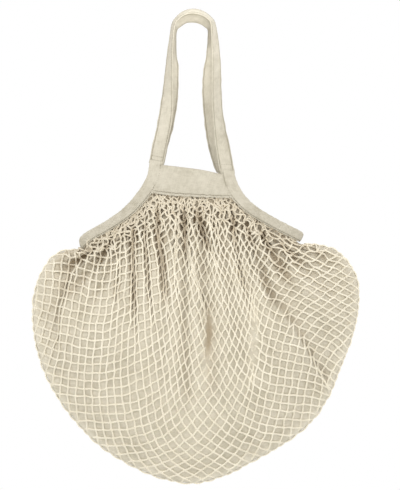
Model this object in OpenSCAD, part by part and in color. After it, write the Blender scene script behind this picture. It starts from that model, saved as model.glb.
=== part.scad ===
// Mesh produce bag: a one-piece net pouch with a thin lining, gathered into two
// cloth bands and side bindings, and carried by two stitched strap handles.
// +Z is up, -Y is the front. The origin is the hanging point: the underside of
// the handles where they bend over a hook or a hand.

/* [Handles] */
// Width of each handle strap
strap_w = 19; // [17:0.5:20]
// Thickness of each handle strap, two layers of cloth
strap_t = 1.6; // [1.2:0.1:1.8]
// Radius of the bend at the top of the front handle
front_bend_r = 27.5; // [26:0.5:29]
// Radius of the bend at the top of the rear handle
rear_bend_r = 26; // [25:0.5:27]

/* [Mouth] */
// Distance of each band from the middle plane of the bag
mouth_half = 14; // [12:0.5:18]
// Thickness of the bands
band_t = 1.6; // [1.2:0.1:2]
// Thickness of the folded binding tape
tape_t = 2.4; // [2:0.1:2.8]
// Width of the binding tape next to the handle
tape_w_top = 16.5; // [15:0.5:17]
// Width of the binding tape at the side fold
tape_w_side = 13.5; // [12:0.5:15]
// Gap between the front and the rear half of a binding at the side fold
fold_gap = 0.4; // [0.3:0.1:1]

/* [Pouch] */
// Thickness of the net wall
net_t = 1.6; // [1.2:0.1:1.8]
// Thickness of the lining cloth
lining_t = 0.7; // [0.6:0.1:0.8]
// Free space between the net and the lining
lining_gap = 0.5; // [0.4:0.1:0.6]
// How far each wall of the pouch bellies out beyond its mouth
belly = 30; // [20:1:34]

/* [Stitching] */
// Thickness of the sewing thread
thread_d = 0.8; // [0.6:0.1:1]
// Distance of a stitch row from the edge of its strap or tape
edge_margin = 1.8; // [1.5:0.1:2.5]
// Height of the hem row above the lower edge of a band
hem_margin = 3.3; // [2.5:0.1:4]

/* [Hidden] */

cloth_colour = [0.86, 0.82, 0.73];
net_colour = [0.92, 0.88, 0.78];
lining_colour = [0.79, 0.75, 0.66];
thread_colour = [0.80, 0.76, 0.66];

// The line that each handle folds along where it joins the bindings
join_left = [-51, -181];
join_right = [40.6, -193];
join_slope = (join_right.y - join_left.y) / (join_right.x - join_left.x);
join_angle = atan(join_slope);
// Half of the slack between a handle's end and its binding's end
join_half_gap = 2.3;
// The rear right binding and strap meet this much nearer the middle
rear_right_shift = -5;

function join_z(x) = join_left.y + join_slope * (x - join_left.x);

// How far the middle of a thread lies above the face that it is sewn on
thread_lift = 0.1;

// ---- curves -------------------------------------------------------------

// Point at t, from 0 to 1, on a smooth curve through the points p
function on_curve(p, t) =
    let (n = len(p) - 1, s = min(max(t, 0) * n, n - 0.0001), i = floor(s), f = s - i,
         a = p[max(i - 1, 0)], b = p[i], c = p[i + 1], d = p[min(i + 2, n)])
    0.5 * (2 * b + (c - a) * f + (2 * a - 5 * b + 4 * c - d) * f * f
           + (3 * b - a - 3 * c + d) * f * f * f);

function unit(v) = v / norm(v);

// Direction of a curve of points that start with x, y, z, at t
function heading(p, t) =
    let (a = on_curve(p, max(t - 0.01, 0)), b = on_curve(p, min(t + 0.01, 1)))
    unit([b[0] - a[0], b[1] - a[1], b[2] - a[2]]);

// Faces of a closed tube of rings that have k corners each
function tube_faces(rings, k) = concat(
    [[for (j = [0 : k - 1]) j]],
    [for (i = [0 : rings - 2]) for (j = [0 : k - 1])
        let (a = i * k + j, b = i * k + (j + 1) % k) each [[a, a + k, b], [b, a + k, b + k]]],
    [[for (j = [k - 1 : -1 : 0]) (rings - 1) * k + j]]);

// ---- ribbons: straps and binding tapes ---------------------------------
// A ribbon's stations are [x, y, z, edge angle, twist, width]: the edge angle
// turns in the XZ plane and points from the outer edge to the inner edge, and
// the twist brings the inner edge forward.

function across(s) = [cos(s[3]) * cos(s[4]), -sin(s[4]), sin(s[3]) * cos(s[4])];

function spot(s) = [s[0], s[1], s[2]];

// A point on the ribbon: side is -1 on the outer edge and 1 on the inner edge,
// inset moves it in from that edge, and lift is out from the middle of the cloth
function on_ribbon(p, t, side, inset, lift) =
    let (s = on_curve(p, t), w = across(s), n = unit(cross(w, heading(p, t))))
    spot(s) + w * side * (s[5] / 2 - inset) + n * lift;

function ribbon_ring(p, t, thick) = [
    on_ribbon(p, t, -1, 0, thick / 2), on_ribbon(p, t, 1, 0, thick / 2),
    on_ribbon(p, t, 1, 0, -thick / 2), on_ribbon(p, t, -1, 0, -thick / 2)];

module ribbon(p, thick, rings) {
    points = [for (i = [0 : rings - 1]) each ribbon_ring(p, i / (rings - 1), thick)];
    polyhedron(points, tube_faces(rings, 4));
}

// A thread that runs along a list of points, square in section
module thread(path) {
    last = len(path) - 1;
    r = thread_d / 2;
    points = [for (i = [0 : last])
        let (d = unit(path[min(i + 1, last)] - path[max(i - 1, 0)]),
             u = unit(cross(d, [0.3, 1, 0.2])), v = cross(d, u))
        each [path[i] + u * r, path[i] + v * r, path[i] - u * r, path[i] - v * r]];
    polyhedron(points, tube_faces(last + 1, 4));
}

// ---- handles ------------------------------------------------------------

// Stations round the bend at the top of a handle, from its left to its right
function bend(centre, r, y, twists) = [
    for (i = [0 : len(twists) - 1])
        let (a = 160 - i * 140 / (len(twists) - 1))
        [centre.x + r * cos(a), y, centre.y + r * sin(a), a - 180, twists[i], strap_w]];

function base(x, y) = [x, y, join_z(x) + join_half_gap, join_angle, 1, strap_w];

// The right end's edge runs the other way along the join line
function base_right(x, y) = [x, y, join_z(x) + join_half_gap, join_angle - 180, 1, strap_w];

front_handle_path = concat(
    [base(-51, -mouth_half),
     [-46.6, -13.8, -160, -13, 6, strap_w],
     [-41.6, -13.2, -137, -10, 14, strap_w],
     [-38, -12.6, -112, -6, 26, strap_w],
     [-36.2, -11.8, -85, -3, 49, strap_w],
     [-34.6, -11, -57, -4, 61, strap_w],
     [-32.6, -10.4, -32, -8, 73, strap_w]],
    bend([-3.4, -14.5], front_bend_r, -10.2, [75, 73, 69, 67, 68, 70, 70]),
    [[25.4, -10.4, -36, -176, 58, strap_w],
     [26.5, -11, -60, -178, 53, strap_w],
     [26.8, -11.8, -87, -178, 49, strap_w],
     [27.8, -12.6, -114, -176, 46, strap_w],
     [31.2, -13.2, -142, -172, 34, strap_w],
     [35.6, -13.8, -168, -172, 12, strap_w],
     base_right(40, -mouth_half)]);

rear_handle_path = concat(
    [base(-51, -mouth_half),
     [-45.5, -14, -158, -14, 5, strap_w],
     [-38.5, -13.6, -132, -13, 10, strap_w],
     [-33.4, -13, -104, -8, 20, strap_w],
     [-31.2, -12.4, -78, -2, 28, strap_w],
     [-31, -11.6, -57, 0, 33, strap_w],
     [-31.4, -11, -38, -2, 52, strap_w]],
    bend([-4.5, -20.5], rear_bend_r, -10.4, [68, 64, 59, 57, 58, 60, 62]),
    [[20.8, -11, -43, -180, 36, strap_w],
     [18.8, -11.8, -60, -180, 20, strap_w],
     [17.3, -12.5, -82, -180, 12, strap_w],
     [18.2, -13, -106, -178, 12, strap_w],
     [20.6, -13.6, -132, -175, 12, strap_w],
     [25.6, -14, -162, -168, 8, strap_w],
     base_right(35, -mouth_half)]);

handle_rings = 44;

module front_handle() {
    color(cloth_colour) ribbon(front_handle_path, strap_t, handle_rings);
}

module rear_handle() {
    color(cloth_colour) mirror([0, 1, 0]) ribbon(rear_handle_path, strap_t, handle_rings);
}

// Two rows along the outer face of a handle, one near each edge
module handle_rows(p) {
    rows = 36;
    for (side = [-1, 1])
        thread([for (i = [0 : rows])
            on_ribbon(p, i / rows, side, edge_margin, strap_t / 2 + thread_lift)]);
}

// A row across each end of a handle, where it is sewn to the bindings
module join_rows(p) {
    for (t = [0.02, 0.98])
        thread([for (k = [-3 : 3])
            on_ribbon(p, t, k / 3, edge_margin * abs(k) / 3 + 0.6, strap_t / 2 + thread_lift)]);
}

module front_handle_stitching() { color(thread_colour) handle_rows(front_handle_path); }

module rear_handle_stitching() {
    color(thread_colour) mirror([0, 1, 0]) handle_rows(rear_handle_path);
}

module front_handle_join_stitching() { color(thread_colour) join_rows(front_handle_path); }

module rear_handle_join_stitching() {
    color(thread_colour) mirror([0, 1, 0]) join_rows(rear_handle_path);
}

// ---- side bindings ------------------------------------------------------

// A station of binding tape at f, from 0 next to the handle to 1 at the side
function tape(x, y, z, a, f) = [x, y, z, a, 0, tape_w_top + (tape_w_side - tape_w_top) * f];

left_tape = [
    tape(-51.4, -mouth_half, join_z(-51.4) - join_half_gap, join_angle, 0),
    tape(-55.6, -mouth_half, -203, -16, 0),
    tape(-67.8, -mouth_half, -224, -36, 0.3),
    tape(-88.6, -12.4, -247, -48, 0.7),
    tape(-115, -9, -265.3, -59, 1),
    tape(-137, -5.6, -276.8, -61, 1),
    tape(-148.6, -3.6, -283.6, -60, 1),
    tape(-153.4, 2, -287, -60, 1)];

function right_tape(shift) = [
    tape(40.6 + shift, -mouth_half, join_z(40.6 + shift) - join_half_gap, join_angle - 180, 0),
    tape(45 + shift * 0.6, -mouth_half, -210, -160, 0),
    tape(56, -mouth_half, -229, -139, 0.3),
    tape(73, -13, -245, -129, 0.7),
    tape(95.5, -10.6, -258.6, -121, 1),
    tape(118, -7.4, -270.4, -118, 1),
    tape(133.6, -4, -278.2, -118, 1),
    tape(139.6, 2, -281.6, -118, 1)];

tape_rings = 22;

// The tape is cut off square at the side fold, where its rear half carries on
module binding(p) {
    reach = 200;
    color(cloth_colour)
    difference() {
        ribbon(p, tape_t, tape_rings);
        translate([-reach, -fold_gap / 2, -2 * reach]) cube([2 * reach, reach, 2 * reach]);
    }
}

module front_left_binding() { binding(left_tape); }

module front_right_binding() { binding(right_tape(0)); }

module rear_left_binding() { mirror([0, 1, 0]) binding(left_tape); }

module rear_right_binding() { mirror([0, 1, 0]) binding(right_tape(rear_right_shift)); }

// One row along the inner edge of a binding, on its outer face
module binding_row(p) {
    rows = 20;
    color(thread_colour)
    thread([for (i = [0 : rows])
        on_ribbon(p, 0.05 + 0.86 * i / rows, 1, edge_margin, tape_t / 2 + thread_lift)]);
}

module front_left_binding_stitching() { binding_row(left_tape); }

module front_right_binding_stitching() { binding_row(right_tape(0)); }

module rear_left_binding_stitching() { mirror([0, 1, 0]) binding_row(left_tape); }

module rear_right_binding_stitching() {
    mirror([0, 1, 0]) binding_row(right_tape(rear_right_shift));
}

// ---- bands --------------------------------------------------------------

// Outline of a band in XZ; its sides run a little way under the bindings
function band_outline(shift) = [
    [-47.5, -186.2], [-43, -186.4], [-20, -189], [8, -192.8], [32 + shift, -198],
    [37 + shift, -199], [49.5, -229], [12, -228.4], [-27, -226.4], [-58.5, -222.6]];

module band(shift) {
    color(cloth_colour)
    translate([0, -mouth_half + band_t / 2, 0]) rotate([90, 0, 0])
        linear_extrude(band_t) polygon(band_outline(shift));
}

module front_band() { band(0); }

module rear_band() { mirror([0, 1, 0]) band(rear_right_shift); }

// The hem row runs parallel to the lower edge of the band
module hem_row() {
    edge = [[47.5, -229], [12, -228.4], [-27, -226.4], [-55, -222.9]];
    rows = 16;
    color(thread_colour)
    thread([for (i = [0 : rows])
        let (q = on_curve(edge, 0.1 + 0.84 * i / rows))
        [q.x, -mouth_half - band_t / 2 - thread_lift, q.y + hem_margin]]);
}

module front_band_stitching() { hem_row(); }

module rear_band_stitching() { mirror([0, 1, 0]) hem_row(); }

// ---- net pouch and lining ----------------------------------------------
// The pouch is one surface. Its lines leave the mouth, run out to the outline
// of the bag, turn there and come back up the rear wall to the mouth.

// The gathered edge under the bindings and the band, from left to right
mouth_edge = [
    [-148.5, -296.4], [-131, -289.6], [-112.5, -278.6], [-95, -266.5], [-78, -252.5],
    [-63, -237.5], [-49, -229.8], [-28, -231.6], [-5, -233], [18, -233.6], [41, -234.4],
    [57, -246], [74, -259], [93, -270.8], [113, -281.4], [135, -290.6]];

// The outline that the filled net is spread to, from left to right
outline = [
    [-157, -299], [-182, -303], [-203, -332], [-211, -368], [-209, -408], [-199, -447],
    [-181, -484], [-157, -517], [-128, -547], [-92, -571], [-51, -590], [-5, -598.5],
    [38, -588], [77, -568], [114, -547], [148, -520], [171, -487], [187, -449], [202, -409],
    [210, -370], [207, -330], [182, -298.5], [143.5, -293.4]];

function outline_normal(u) =
    let (a = on_curve(outline, u - 0.01), b = on_curve(outline, u + 0.01), d = unit(b - a))
    [d.y, -d.x];

// Direction in which a line leaves the mouth: down in the middle, outwards at the sides
function leaving(u) =
    let (f = 2 * u - 1, a = -90 + 60 * sign(f) * f * f) [cos(a), sin(a)];

// Point in XZ on the line u at v, from 0 at the mouth to 1 at the outline
function on_line(u, v) =
    let (a = on_curve(mouth_edge, u), b = on_curve(outline, u), l = norm(b - a),
         m = leaving(u) * l * 0.9, n = outline_normal(u) * l * 0.6, w = 1 - v)
    a * (1 + 2 * v) * w * w + m * v * w * w + b * v * v * (3 - 2 * v) - n * v * v * w;

// Half of the pouch's depth at u, v
function half_depth(u, v) =
    let (e = min(min(u, 1 - u) / 0.33, 1), edge = 5 + (mouth_half - 6) * sin(90 * e),
         full = belly * (0.2 + 0.8 * sin(180 * u)))
    (edge * (1 - v * v) + full * sin(150 * v)) * sqrt(max(1 - pow(v, 6), 0));

// A point on the pouch: w runs from 0 at the front mouth to 2 at the rear mouth
function on_pouch(u, w) =
    let (v = w < 1 ? w : 2 - w, q = on_line(u, v), y = half_depth(u, v))
    [q.x, w < 1 ? -y : y, q.y];

// The same point moved inwards by d
function inside_pouch(u, w, d) =
    let (h = 0.004, du = on_pouch(min(u + h, 1), w) - on_pouch(max(u - h, 0), w),
         dw = on_pouch(u, min(w + h, 2)) - on_pouch(u, max(w - h, 0)))
    on_pouch(u, w) + unit(cross(du, dw)) * d;

// Rows bunch up towards the outline, where the wall turns
function row_at(j, rows) =
    let (s = 2 * j / rows, v = s < 1 ? s : 2 - s, e = 1 - pow(1 - v, 1.7)) s < 1 ? e : 2 - e;

// A wall between the depths d0 and d1 inside the pouch's surface
module pouch_wall(d0, d1, columns, rows, side_inset, top_inset) {
    n = rows + 1;
    layer = (columns + 1) * n;
    points = [for (d = [d0, d1]) for (i = [0 : columns]) for (j = [0 : rows])
        let (u = side_inset + (1 - 2 * side_inset) * i / columns,
             w = top_inset + (1 - top_inset) * row_at(j, rows))
        inside_pouch(u, w < 1 ? w : 2 - top_inset - (1 - top_inset) * row_at(rows - j, rows), d)];
    sheet = [for (i = [0 : columns - 1]) for (j = [0 : rows - 1])
        let (a = i * n + j) each [[a, a + n, a + 1], [a + n, a + n + 1, a + 1]]];
    rim = concat(
        [for (i = [0 : columns]) i * n],
        [for (j = [1 : rows]) columns * n + j],
        [for (i = [columns - 1 : -1 : 0]) i * n + rows],
        [for (j = [rows - 1 : -1 : 1]) j]);
    edge = [for (k = [0 : len(rim) - 1])
        let (a = rim[k], b = rim[(k + 1) % len(rim)])
        each [[a, b + layer, b], [a, a + layer, b + layer]]];
    polyhedron(points, concat(
        sheet, [for (f = sheet) [f[2] + layer, f[1] + layer, f[0] + layer]], edge));
}

wall_columns = 40;
wall_rows = 20;
// The net starts this share of the mouth's edge in from each side
net_inset = 0.012;
// The lining starts one column further in, so that its lines lie behind the net's
lining_inset = net_inset + (1 - 2 * net_inset) / wall_columns;
// The lining starts this share of the way down from the mouth
lining_drop = 0.01;

module net_pouch() {
    color(net_colour) pouch_wall(0, net_t, wall_columns, wall_rows, net_inset, 0);
}

module lining() {
    start = net_t + lining_gap;
    color(lining_colour)
    pouch_wall(start, start + lining_t, wall_columns - 2, wall_rows, lining_inset, lining_drop);
}

net_pouch();
lining();
front_band();
rear_band();
front_left_binding();
front_right_binding();
rear_left_binding();
rear_right_binding();
front_handle();
rear_handle();
front_band_stitching();
rear_band_stitching();
front_left_binding_stitching();
front_right_binding_stitching();
rear_left_binding_stitching();
rear_right_binding_stitching();
front_handle_stitching();
rear_handle_stitching();
front_handle_join_stitching();
rear_handle_join_stitching();
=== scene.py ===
"""Looks of the mesh produce bag: knotted net over a thin lining, cloth bands, side
bindings and two stitched strap handles. Lengths are written in millimetres and
every mesh is made in metres, in the CAD frame: +Z up, -Y the front."""

import bpy
import numpy as np
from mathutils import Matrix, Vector


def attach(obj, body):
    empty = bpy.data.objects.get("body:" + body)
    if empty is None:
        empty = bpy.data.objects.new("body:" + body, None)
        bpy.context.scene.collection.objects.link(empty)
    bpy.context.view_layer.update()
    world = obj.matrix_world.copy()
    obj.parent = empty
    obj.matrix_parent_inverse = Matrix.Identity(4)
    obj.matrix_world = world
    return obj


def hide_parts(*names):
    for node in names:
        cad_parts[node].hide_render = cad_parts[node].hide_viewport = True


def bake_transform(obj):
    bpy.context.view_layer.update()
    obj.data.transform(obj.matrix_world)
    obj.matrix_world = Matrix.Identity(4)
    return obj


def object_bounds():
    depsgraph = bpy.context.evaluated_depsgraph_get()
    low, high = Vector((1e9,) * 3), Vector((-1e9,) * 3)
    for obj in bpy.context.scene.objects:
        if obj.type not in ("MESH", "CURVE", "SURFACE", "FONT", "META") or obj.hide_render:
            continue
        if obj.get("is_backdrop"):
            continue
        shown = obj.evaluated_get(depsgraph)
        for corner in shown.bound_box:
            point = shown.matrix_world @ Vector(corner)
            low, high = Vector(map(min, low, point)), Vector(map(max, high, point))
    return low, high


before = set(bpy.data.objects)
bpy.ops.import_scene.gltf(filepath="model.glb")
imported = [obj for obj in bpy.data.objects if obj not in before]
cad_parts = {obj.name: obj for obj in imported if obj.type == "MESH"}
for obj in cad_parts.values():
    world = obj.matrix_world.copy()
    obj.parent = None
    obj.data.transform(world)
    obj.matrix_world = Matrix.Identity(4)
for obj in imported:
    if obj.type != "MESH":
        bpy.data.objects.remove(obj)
cad_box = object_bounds()

MM = 0.001

# ---- camera, light and floor ----

VIEW_CENTRE = (5.2, -289.9)  # the middle of the picture, in x and z
VIEW_HEIGHT = 637.0
CAMERA_DISTANCE = 2400.0
SENSOR = 36.0


def in_scene(name, data):
    thing = bpy.data.objects.new(name, data)
    bpy.context.scene.collection.objects.link(thing)
    return thing


def make_camera():
    data = bpy.data.cameras.new("camera")
    data.sensor_width = SENSOR
    data.lens = SENSOR * CAMERA_DISTANCE / VIEW_HEIGHT
    camera = in_scene("camera", data)
    camera.location = (VIEW_CENTRE[0] * MM, -CAMERA_DISTANCE * MM, VIEW_CENTRE[1] * MM)
    camera.rotation_euler = (np.pi / 2, 0, 0)
    bpy.context.scene.camera = camera


def area_light(name, place, target, size, power, spread=180):
    data = bpy.data.lights.new(name, "AREA")
    data.size = size
    data.energy = power
    data.spread = np.radians(spread)
    light = in_scene(name, data)
    light.location = place
    aim = Vector(target) - Vector(place)
    light.rotation_euler = aim.to_track_quat("-Z", "Y").to_euler()


def make_world():
    """Pure white behind the bag, and a softer white as the light all round it."""
    world = bpy.data.worlds.new("studio")
    bpy.context.scene.world = world
    world.use_nodes = True
    tree = world.node_tree
    tree.nodes.clear()
    output = tree.nodes.new("ShaderNodeOutputWorld")
    mix = tree.nodes.new("ShaderNodeMixShader")
    path = tree.nodes.new("ShaderNodeLightPath")
    ambient = tree.nodes.new("ShaderNodeBackground")
    backdrop = tree.nodes.new("ShaderNodeBackground")
    ambient.inputs["Color"].default_value = (1.0, 0.985, 0.96, 1)
    ambient.inputs["Strength"].default_value = 0.8
    backdrop.inputs["Color"].default_value = (1, 1, 1, 1)
    tree.links.new(path.outputs["Is Camera Ray"], mix.inputs[0])
    tree.links.new(ambient.outputs[0], mix.inputs[1])
    tree.links.new(backdrop.outputs[0], mix.inputs[2])
    tree.links.new(mix.outputs[0], output.inputs["Surface"])


def make_floor():
    """A pale floor well below the hanging bag."""
    side, z = 1.6, -1.15
    mesh = bpy.data.meshes.new("floor")
    corners = [(-side, -side, z), (side, -side, z), (side, side, z), (-side, side, z)]
    mesh.from_pydata(corners, [], [(0, 1, 2, 3)])
    floor = in_scene("floor", mesh)
    material = bpy.data.materials.new("floor_paint")
    material.use_nodes = True
    shader = material.node_tree.nodes["Principled BSDF"]
    shader.inputs["Base Color"].default_value = (0.86, 0.86, 0.85, 1)
    shader.inputs["Roughness"].default_value = 0.9
    mesh.materials.append(material)
    floor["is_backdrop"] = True


# ---- small tools ----


def on_curve(points, t):
    """Point at t, from 0 to 1, on a smooth curve through the points."""
    p = np.asarray(points, float)
    t = np.clip(np.asarray(t, float), 0, 1)
    n = len(p) - 1
    s = np.minimum(t * n, n - 1e-4)
    i = np.floor(s).astype(int)
    f = (s - i)[..., None]
    a, b, c, d = p[np.maximum(i - 1, 0)], p[i], p[i + 1], p[np.minimum(i + 2, n)]
    square, cube = 2 * a - 5 * b + 4 * c - d, 3 * b - a - 3 * c + d
    return 0.5 * (2 * b + (c - a) * f + square * f * f + cube * f**3)


def unit(v):
    return v / np.maximum(np.linalg.norm(v, axis=-1, keepdims=True), 1e-12)


def smooth(t):
    t = np.clip(t, 0, 1)
    return t * t * (3 - 2 * t)


def run_along(points):
    """How far along a line of points each of them lies."""
    return np.r_[0, np.cumsum(np.linalg.norm(np.diff(points, axis=0), axis=1))]


def waves(t, count, low, high, seed):
    """An uneven wave of t, from about -1 to 1, with low to high waves in all."""
    draw = np.random.default_rng(seed)
    total = 0
    for _ in range(count):
        frequency, phase = draw.uniform(low, high), draw.uniform(0, 2 * np.pi)
        total = total + np.sin(2 * np.pi * frequency * t + phase)
    return total / np.sqrt(count)


def new_piece(name, points, faces, uv, material, slot, deep=None):
    """A mesh object from points in millimetres and quads, with a UV in metres. deep
    is the share of painted shade at each point, from 0 to 1, for fold_shade."""
    mesh = bpy.data.meshes.new(name)
    mesh.vertices.add(len(points))
    mesh.vertices.foreach_set("co", (np.asarray(points) * MM).astype(np.float32).ravel())
    faces = np.asarray(faces, np.int32)
    mesh.loops.add(faces.size)
    mesh.loops.foreach_set("vertex_index", faces.ravel())
    mesh.polygons.add(len(faces))
    mesh.polygons.foreach_set("loop_start", np.arange(0, faces.size, faces.shape[1]))
    mesh.polygons.foreach_set("use_smooth", np.ones(len(faces), bool))
    mesh.update(calc_edges=True)
    mesh.validate()
    layer = mesh.uv_layers.new(name="cloth")
    layer.data.foreach_set("uv", np.asarray(uv, np.float32)[faces.ravel()].ravel())
    # deep is stored as the attribute that fold_shade reads for its painted shade.
    if deep is not None:
        attribute = mesh.attributes.new("deep", "FLOAT", "POINT")
        attribute.data.foreach_set("value", np.asarray(deep, np.float32).ravel())
    piece = in_scene(name, mesh)
    mesh.materials.append(material)
    return piece


def shell(middle, normal, half):
    """Points, faces and UV of closed cloth round a grid of middle points: half is
    half of its thickness."""
    rows, columns = middle.shape[:2]
    front, back = middle + normal * half[..., None], middle - normal * half[..., None]
    points = np.concatenate([front.reshape(-1, 3), back.reshape(-1, 3)])
    index = np.arange(rows * columns).reshape(rows, columns)
    a, b = index[:-1, :-1].ravel(), index[1:, :-1].ravel()
    c, d = index[1:, 1:].ravel(), index[:-1, 1:].ravel()
    far = rows * columns
    sheets = [np.stack([a, b, c, d], 1), np.stack([a, d, c, b], 1) + far]
    rim = np.concatenate([index[0, :-1], index[:-1, -1], index[-1, :0:-1], index[:0:-1, 0]])
    after = np.roll(rim, -1)
    sheets.append(np.stack([rim, after, after + far, rim + far], 1))
    along = np.cumsum(np.linalg.norm(np.diff(middle, axis=0, prepend=middle[:1]), axis=-1), 0)
    across = np.cumsum(np.linalg.norm(np.diff(middle, axis=1, prepend=middle[:, :1]), axis=-1), 1)
    uv = np.stack([across, along], -1).reshape(-1, 2) * MM
    return points, np.concatenate(sheets), np.concatenate([uv, uv])


def cloth_shell(name, middle, normal, half, deep, material, slot):
    """A piece of closed cloth: shell and new_piece in one."""
    points, faces, uv = shell(middle, normal, half)
    return new_piece(name, points, faces, uv, material, slot, np.tile(deep.ravel(), 2))


def mirrored(points):
    return np.asarray(points, float) * np.array([1, -1, 1])


# ---- materials ----


class Nodes:
    """Short names for building one material's nodes."""

    def __init__(self, name):
        self.material = bpy.data.materials.new(name)
        self.material.use_nodes = True
        self.tree = self.material.node_tree
        self.shader = self.tree.nodes["Principled BSDF"]

    def add(self, kind, **settings):
        node = self.tree.nodes.new(kind)
        for key, value in settings.items():
            setattr(node, key, value)
        return node

    def put(self, socket, value):
        if isinstance(value, bpy.types.NodeSocket):
            self.tree.links.new(value, socket)
        else:
            socket.default_value = value

    def math(self, operation, a, b=0.0, c=0.0):
        node = self.add("ShaderNodeMath", operation=operation)
        for socket, value in zip(node.inputs, (a, b, c)):
            self.put(socket, value)
        return node.outputs[0]

    def noise(self, vector, scale, detail=3.0, roughness=0.55):
        node = self.add("ShaderNodeTexNoise")
        self.put(node.inputs["Vector"], vector)
        self.put(node.inputs["Scale"], scale)
        self.put(node.inputs["Detail"], detail)
        self.put(node.inputs["Roughness"], roughness)
        return node.outputs["Fac"]

    def remap(self, value, low, high, to_low, to_high):
        node = self.add("ShaderNodeMapRange")
        node.interpolation_type = "SMOOTHSTEP"
        for socket, x in zip(node.inputs, (value, low, high, to_low, to_high)):
            self.put(socket, x)
        return node.outputs[0]

    def mix(self, factor, a, b):
        node = self.add("ShaderNodeMix", data_type="RGBA")
        self.put(node.inputs[0], factor)
        self.put(node.inputs[6], a)
        self.put(node.inputs[7], b)
        return node.outputs[2]

    def uv(self):
        return self.add("ShaderNodeUVMap", uv_map="cloth").outputs[0]

    def parts(self, vector):
        node = self.add("ShaderNodeSeparateXYZ")
        self.put(node.inputs[0], vector)
        return node.outputs

    def scaled(self, vector, x, y, z=1.0):
        node = self.add("ShaderNodeMapping")
        self.put(node.inputs["Vector"], vector)
        node.inputs["Scale"].default_value = (x, y, z)
        return node.outputs[0]

    def bump(self, height, depth, strength=1.0, under=None):
        node = self.add("ShaderNodeBump")
        node.inputs["Distance"].default_value = depth
        node.inputs["Strength"].default_value = strength
        self.put(node.inputs["Height"], height)
        if under is not None:
            self.put(node.inputs["Normal"], under)
        return node.outputs[0]

    def finish(self, colour, roughness, sheen, normal):
        self.put(self.shader.inputs["Base Color"], colour)
        self.put(self.shader.inputs["Roughness"], roughness)
        self.shader.inputs["Sheen Weight"].default_value = sheen
        self.shader.inputs["Sheen Roughness"].default_value = 0.5
        self.put(self.shader.inputs["Normal"], normal)
        return self.material


def srgb(r, g, b):
    """A colour from its 0 to 255 values, as the shader wants it."""
    c = np.array([r, g, b]) / 255
    linear = np.where(c <= 0.04045, c / 12.92, ((c + 0.055) / 1.055) ** 2.4)
    return (*linear.tolist(), 1.0)


def woven(name, light, dark, pitch, shadow=None):
    """Plain-weave cotton: threads over and under, slubs, flecks, cloudy uneven tone, painted shade
    where the threads dip, and the shadow passed in.
    """
    n = Nodes(name)
    uv = n.uv()
    place = n.add("ShaderNodeTexCoord").outputs["Object"]
    sway = n.math("MULTIPLY", n.noise(place, 240.0), 0.6 * pitch)
    x, y, _ = n.parts(uv)
    turns = np.pi / pitch
    warp = n.math("SINE", n.math("MULTIPLY", n.math("ADD", x, sway), turns))
    weft = n.math("SINE", n.math("MULTIPLY", n.math("ADD", y, sway), turns))
    check = n.math("MULTIPLY", warp, weft)
    thread = n.math("POWER", n.math("ABSOLUTE", check), 0.6)
    step = n.remap(check, -0.3, 0.3, -0.12, 0.12)
    height = n.math("ADD", thread, step)
    slub_x = n.noise(n.scaled(uv, 1400.0, 90.0), 1.0, 2.0)
    slub_y = n.noise(n.scaled(uv, 90.0, 1400.0), 1.0, 2.0)
    slub = n.math("MULTIPLY", n.math("ADD", slub_x, slub_y), 0.5)
    cloudy = n.noise(place, 26.0, 4.0)
    fibres = n.noise(place, 2600.0, 2.0)
    mottled = n.noise(place, 130.0, 3.0)
    cloudy = n.math("ADD", cloudy, n.math("SUBTRACT", mottled, 0.5))
    tone = n.math("MULTIPLY_ADD", slub, 0.75, n.math("MULTIPLY", cloudy, 0.45))
    tone = n.math("MULTIPLY_ADD", fibres, 0.22, tone)
    # Painted shade: the weave is darker where its threads dip and lighter on their tops.
    tone = n.math("MULTIPLY_ADD", thread, 0.2, tone)
    colour = n.mix(n.remap(tone, 0.45, 1.04, 0.0, 1.0), dark, light)
    fleck = n.remap(n.noise(n.scaled(uv, 900.0, 500.0), 1.0, 2.0), 0.70, 0.76, 0.0, 0.5)
    colour = n.mix(fleck, colour, srgb(176, 158, 124))
    if shadow is not None:
        colour = shadow(n, place, colour)
    normal = n.bump(height, 0.0003, 0.7, n.bump(fibres, 0.00012, 0.5))
    return n.finish(colour, n.remap(height, 0.0, 1.1, 1.0, 0.84), 0.12, normal)


def yarn(name, light, dark, pitch, shadow=None):
    """Twisted cotton yarn: plies that wind round it, loose fibres, uneven tone, and painted shade
    in the grooves between the plies.
    """
    n = Nodes(name)
    uv = n.uv()
    place = n.add("ShaderNodeTexCoord").outputs["Object"]
    around, along, _ = n.parts(uv)
    wind = n.math("MULTIPLY_ADD", along, 1.0 / pitch, n.math("MULTIPLY", around, 2.0))
    ply = n.math("SINE", n.math("MULTIPLY", wind, 2 * np.pi))
    ply = n.math("MULTIPLY_ADD", ply, 0.5, 0.5)
    fibres = n.noise(n.scaled(uv, 9.0, 2200.0), 1.0, 3.0)
    uneven = n.noise(place, 45.0, 4.0)
    # Painted shade: the yarn is darker in the grooves between its plies.
    tone = n.math("MULTIPLY_ADD", ply, 0.35, n.math("MULTIPLY", fibres, 0.45))
    tone = n.math("MULTIPLY_ADD", uneven, 0.5, tone)
    colour = n.mix(n.remap(tone, 0.3, 0.95, 0.0, 1.0), dark, light)
    if shadow is not None:
        colour = shadow(n, place, colour)
    normal = n.bump(ply, 0.00035, 0.8, n.bump(fibres, 0.00018, 0.6))
    return n.finish(colour, n.remap(fibres, 0.3, 0.7, 0.82, 1.0), 0.15, normal)


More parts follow.
